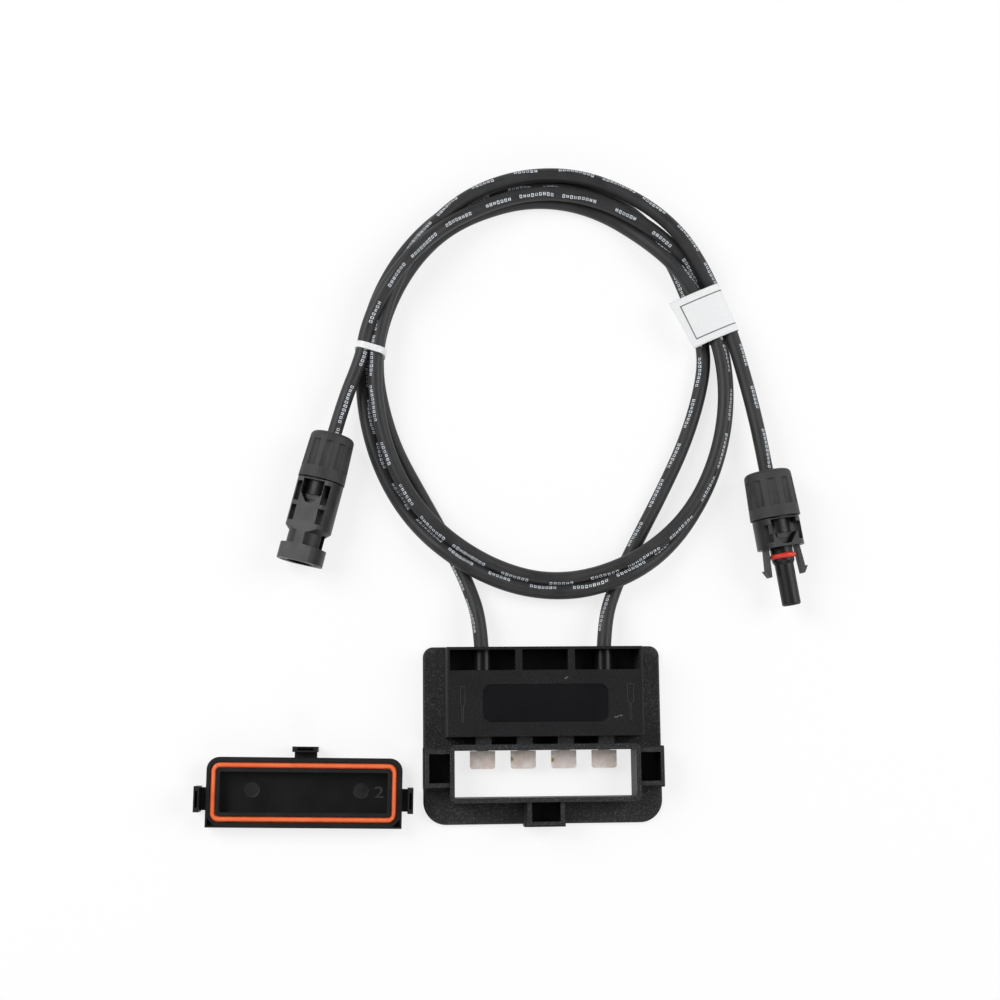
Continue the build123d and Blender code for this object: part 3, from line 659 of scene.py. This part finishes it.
dress(mouldedPlastic(mouldedFacts), ["box_base"])
dress(lidPlastic(lidFacts), ["lid"])
dress(connectorPlastic("nutBlackPlastic"), ["left_gland_nut", "right_gland_nut"])
dress(connectorPlastic("bodyBlackPlastic", shell=True), bodies)
dress(tinnedCopper(tinFacts), [*terminals, "left_crimp", "right_crimp", "pin_contact", "socket_contact"])
dress(bareMetal("bareCopper", (0.72, 0.33, 0.18), 0.35), ["left_cable_core", "right_cable_core"])
dress(connectorPlastic("diodeEpoxy"), diodes)
dress(rubberLook("orangeSilicone"), ["lid_gasket"])
dress(rubberLook("redSilicone"), ["plug_o_ring"])
dress(rubberLook("pottingCompound"), ["potting_compound"])
dress(rubberLook("blackRubber"), ["left_cable_seal", "right_cable_seal"])
dress(nylonLook(), ["cable_tie"])
for name, lead in leadPieces.items():
    lead.data.materials.append(cableSheath(name + "Sheath", cableFacts, leads[name]["printAt"]))
print("finishes made")

# Paper label: one strip right round the strands, folded double into a flat flag, its ends meeting below.
# Outline in mm: across the strands from the coil's inner side to its outer one, then height.
labelFacts = {
    "place": (72.5, 178.5),
    "turn": 22.8,
    "long": 22.0,
    "thick": 0.16,
    "under": [
        (7.2, 0.2), (-3.5, 0.3), (-5.6, 1.0), (-6.2, 3.8), (-6.3, 7.3), (-7.4, 9.2), (-11.9, 9.9),
    ],
    "over": [
        (-12.1, 10.1), (-8.2, 10.6), (-4.1, 11.4), (-1.0, 11.8), (4.1, 11.9), (8.9, 11.9),
        (10.6, 11.1), (11.4, 9.1), (11.5, 6.2), (10.5, 3.3), (9.1, 1.1), (7.2, 0.3),
    ],
    "rows": 25,
    "stand": (1.03, 0.13),
    "flag": (-4.0, -12.0),
    "slant": 0.12,
    "curl": 0.35,
    "curlTurn": 0.21,
    "curlStart": 0.6,
    "frameInset": (3.0, 3.0),
    "line": 0.5,
    "paper": ((0.78, 0.79, 0.80), (0.86, 0.865, 0.87)),
    "ink": (0.035, 0.03, 0.03),
}


# A flat place in mm, turned by its angle in degrees and moved to where it belongs.
def turned(place, turn, x, y):
    a = math.radians(turn)
    return place[0] + x * math.cos(a) - y * math.sin(a), place[1] + x * math.sin(a) + y * math.cos(a)


# A rounded outline: straight runs between the points, smoothed by a short running mean.
def softOutline(points, steps=6, reach=3):
    outline = np.array(points)
    at = np.linspace(0, len(outline) - 1, (len(outline) - 1) * steps + 1)
    line = np.stack([np.interp(at, np.arange(len(outline)), outline[:, axis]) for axis in (0, 1)], 1)
    padded = np.vstack([np.repeat(line[:1], reach, 0), line, np.repeat(line[-1:], reach, 0)])
    kernel = np.ones(2 * reach + 1) / (2 * reach + 1)
    return np.stack([np.convolve(padded[:, axis], kernel, "valid") for axis in (0, 1)], 1)


# Each row of the grid is the outline at one place along the strands. It stands higher towards the
# end where a strand crosses, and the flag slants and curls.
def makeLabel(facts):
    under, over = softOutline(facts["under"]), softOutline(facts["over"])
    across, height = np.vstack([under, over]).T
    run = np.r_[0, np.cumsum(np.hypot(np.diff(across), np.diff(height)))]
    along = np.linspace(-0.5, 0.5, facts["rows"])[:, None] * facts["long"]
    root, tip = facts["flag"]
    flag = np.clip((root - across[None]) / (root - tip), 0, 1)
    lean = -facts["slant"] * along * flag
    curl = facts["curl"] * np.sin(along * facts["curlTurn"] + facts["curlStart"]) * flag
    stand = facts["stand"][0] + facts["stand"][1] * (along / facts["long"] + 0.5)
    x, y = turned(facts["place"], facts["turn"], across[None] + lean, along)
    grid = np.stack(np.broadcast_arrays(x, y, height[None] * stand + curl), -1) * mm
    fold = run[len(under)]
    coords = np.stack(np.broadcast_arrays((run - fold)[None], along + facts["long"] / 2), -1)
    label = shadeSmooth(gridMesh("paperLabel", grid[::-1], coords=coords[::-1]), 0)
    sheet = label.modifiers.new("thickness", "SOLIDIFY")
    sheet.thickness, sheet.offset = facts["thick"] * mm, 1.0
    label.data.materials.append(paperLook(facts))
    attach(label, "box")
    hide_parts("cable_label")


makeLabel(labelFacts)
print("label made")

# Small moulded marks: raised outlines on the block, ejector rounds and the cavity number in the lid.
# An outline is placed by its middle and has half its grip's width.
markFacts = {
    "outlines": {"leftBlockOutline": ((-34.2, 12.3), 0.95), "rightBlockOutline": ((35.2, 12.9), 1.25)},
    "blockTop": 17.0,
    "grip": (0.6, 7.4),
    "blade": 0.35,
    "bladeFrom": -0.4,
    "bladeEnds": (-6.6, -7.4),
    "line": 0.22,
    "raise": 0.14,
    "sink": 0.05,
    "rounds": [(-21.7, 0.9), (23.0, 0.8)],
    "roundSize": 3.2,
    "roundRadii": (1.03, 1.0, 0.96, 0.90, 0.80),
    "roundHeights": (-0.02, 0.12, 0.13, 0.05, 0.03),
    "roundSides": 48,
    "sharpEdge": 40,
    "number": (30.4, -1.9),
    "numberSize": 6.6,
    "numberWide": 1.3,
    "numberThick": 0.10,
    "numberFloor": 0.05,
}


def finishMark(piece, material):
    piece.data.materials.append(material)
    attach(piece, "box")


# A ridge is a low roof of three sides on a flat foot, along each straight run of a flat outline.
def ridgeMesh(name, points, facts):
    ends = np.stack([points[:-1], points[1:]], 1)
    ahead = ends[:, 1] - ends[:, 0]
    ahead /= np.linalg.norm(ahead, axis=1)[:, None]
    aside = np.stack([-ahead[:, 1], ahead[:, 0]], 1)
    ends = ends + np.array([-0.5, 0.5])[None, :, None] * ahead[:, None] * facts["line"]
    share = np.array([0.5, 0.25, -0.25, -0.5]) * facts["line"]
    flat = ends[:, :, None] + share[None, None, :, None] * aside[:, None, None]
    foot, roof = facts["blockTop"] - facts["sink"], facts["blockTop"] + facts["raise"]
    level = np.broadcast_to([foot, roof, roof, foot], flat.shape[:3])
    spots = np.concatenate([flat, level[..., None]], -1).reshape(-1, 3) * mm
    faces = np.array([(0, 1, 5, 4), (1, 2, 6, 5), (2, 3, 7, 6), (3, 0, 4, 7), (3, 2, 1, 0), (4, 5, 6, 7)])
    faces = (faces[None] + 8 * np.arange(len(ends))[:, None, None]).reshape(-1, 4)
    mesh = bpy.data.meshes.new(name)
    mesh.from_pydata(spots.tolist(), [], faces.tolist())
    return addPiece(name, mesh)


def makeOutline(name, middle, wide, facts):
    (low, high), blade, (leftEnd, rightEnd) = facts["grip"], facts["blade"], facts["bladeEnds"]
    points = [
        (-wide, high), (wide, high), (wide, low), (blade, facts["bladeFrom"]), (blade, leftEnd),
        (-blade, rightEnd), (-blade, facts["bladeFrom"]), (-wide, low), (-wide, high),
    ]
    finishMark(ridgeMesh(name, np.array(points) + middle, facts), markPlastic)


# A round mark is a shallow shape of revolution: a fine raised rim round a slightly sunk middle.
def makeRound(name, x, y, facts):
    radii = np.array(facts["roundRadii"])[:, None] * facts["roundSize"]
    heights = np.array(facts["roundHeights"])[:, None] + lidFacts["floor"]
    turn = np.linspace(0, 2 * np.pi, facts["roundSides"], endpoint=False)
    cx, cy = turned(lidFacts["place"], lidFacts["turn"], x, y)
    rings = np.broadcast_arrays(cx + radii * np.cos(turn), cy + radii * np.sin(turn), heights)
    piece = gridMesh(name, np.stack(rings, -1) * mm, closeRound=True, caps=True)
    finishMark(shadeSmooth(piece, facts["sharpEdge"]), roundPlastic)


def makeNumber(name, facts):
    words = bpy.data.curves.new(name, "FONT")
    words.body, words.size, words.extrude = "2", facts["numberSize"] * mm, facts["numberThick"] * mm
    words.align_x = "CENTER"
    made = addPiece(name + "Text", words)
    bpy.context.view_layer.update()
    mesh = bpy.data.meshes.new_from_object(made)
    bpy.data.objects.remove(made)
    x, y = turned(lidFacts["place"], lidFacts["turn"], *facts["number"])
    place = Matrix.Translation(Vector((x, y, lidFacts["floor"] + facts["numberFloor"])) * mm)
    turn = Matrix.Rotation(math.radians(lidFacts["turn"]), 4, "Z")
    mesh.transform(place @ turn @ Matrix.Diagonal((facts["numberWide"], 1, 1, 1)))
    mesh.name = name
    mesh.materials.clear()
    finishMark(addPiece(name, mesh), numberPlastic)


markPlastic = connectorPlastic("markPlastic")
roundPlastic = connectorPlastic("roundPlastic")
numberPlastic = connectorPlastic("numberFace")
for name, (middle, wide) in markFacts["outlines"].items():
    makeOutline(name, middle, wide, markFacts)
for count, (x, y) in enumerate(markFacts["rounds"]):
    makeRound(f"ejectorRound{count + 1}", x, y, markFacts)
makeNumber("cavityNumber", markFacts)
print("marks made")

# Stage: a white floor that keeps a soft shadow, a studio dome bright at its rim, and three soft lamps.
# A lamp has its place and size in metres and its power.
stageFacts = {
    "floorHalf": 2.0,
    "floorColour": (0.97, 0.97, 0.97),
    "glow": 0.76,
    "rim": 0.9,
    "zenith": 0.13,
    "rimHeight": 0.45,
    "aim": (0, 0.1, 0),
    "lamps": {
        "keyLamp": ((-0.90, 0.50, 0.95), 0.9, 12.6),
        "fillLamp": ((1.00, 0.30, 0.90), 0.9, 9.6),
        "frontLamp": ((0.10, -1.00, 0.80), 0.8, 3.8),
    },
}


# The floor takes shadows, and what the camera and mirrored rays see of it is mostly its own even glow.
def makeFloor(facts):
    half = facts["floorHalf"]
    corners = [[(-half, -half, 0.0), (half, -half, 0.0)], [(-half, half, 0.0), (half, half, 0.0)]]
    floor = gridMesh("floor", np.array(corners))
    look = Look("whiteFloor").set(Base_Color=facts["floorColour"], Roughness=0.9, Specular_IOR_Level=0.0)
    camera = look.node("ShaderNodeLightPath", out="Is Camera Ray")
    seen = camera.most(look.node("ShaderNodeLightPath", out="Is Glossy Ray"))
    glow = look.node("ShaderNodeEmission", None, {"Color": (1, 1, 1), "Strength": 1.0})
    lit = Wire(look, look.surface.outputs[0])
    shader = look.node("ShaderNodeMixShader", None, {0: seen * facts["glow"], 1: lit, 2: glow})
    look.feed(look.tree.nodes["Material Output"].inputs["Surface"], shader)
    floor.data.materials.append(look.material)


# The dome's strength falls from its rim to its zenith with the height of the ray's direction, and the
# camera sees it white.
def makeDome(facts):
    world = bpy.data.worlds.new("studioDome")
    bpy.context.scene.world = world
    look = Look("studioDome", world)
    up = look.axes(look.node("ShaderNodeTexCoord", out="Generated"))[2]
    camera = look.node("ShaderNodeLightPath", out="Is Camera Ray")
    strength = up.ramp(0.0, facts["rimHeight"], facts["rim"], facts["zenith"])
    sky = look.tree.nodes["Background"]
    look.feed(sky.inputs["Color"], (1, 1, 1))
    look.feed(sky.inputs["Strength"], strength.most(camera))


def makeLamp(name, place, size, power, aim):
    lamp = bpy.data.lights.new(name, "AREA")
    lamp.shape, lamp.size, lamp.energy = "DISK", size, power
    holder = addPiece(name, lamp)
    holder.location = place
    holder.rotation_mode = "QUATERNION"
    holder.rotation_quaternion = (Vector(aim) - Vector(place)).to_track_quat("-Z", "Y")


makeFloor(stageFacts)
makeDome(stageFacts)
for name, (place, size, power) in stageFacts["lamps"].items():
    makeLamp(name, place, size, power, stageFacts["aim"])
bpy.context.scene.view_settings.view_transform = "Standard"
print("stage made")
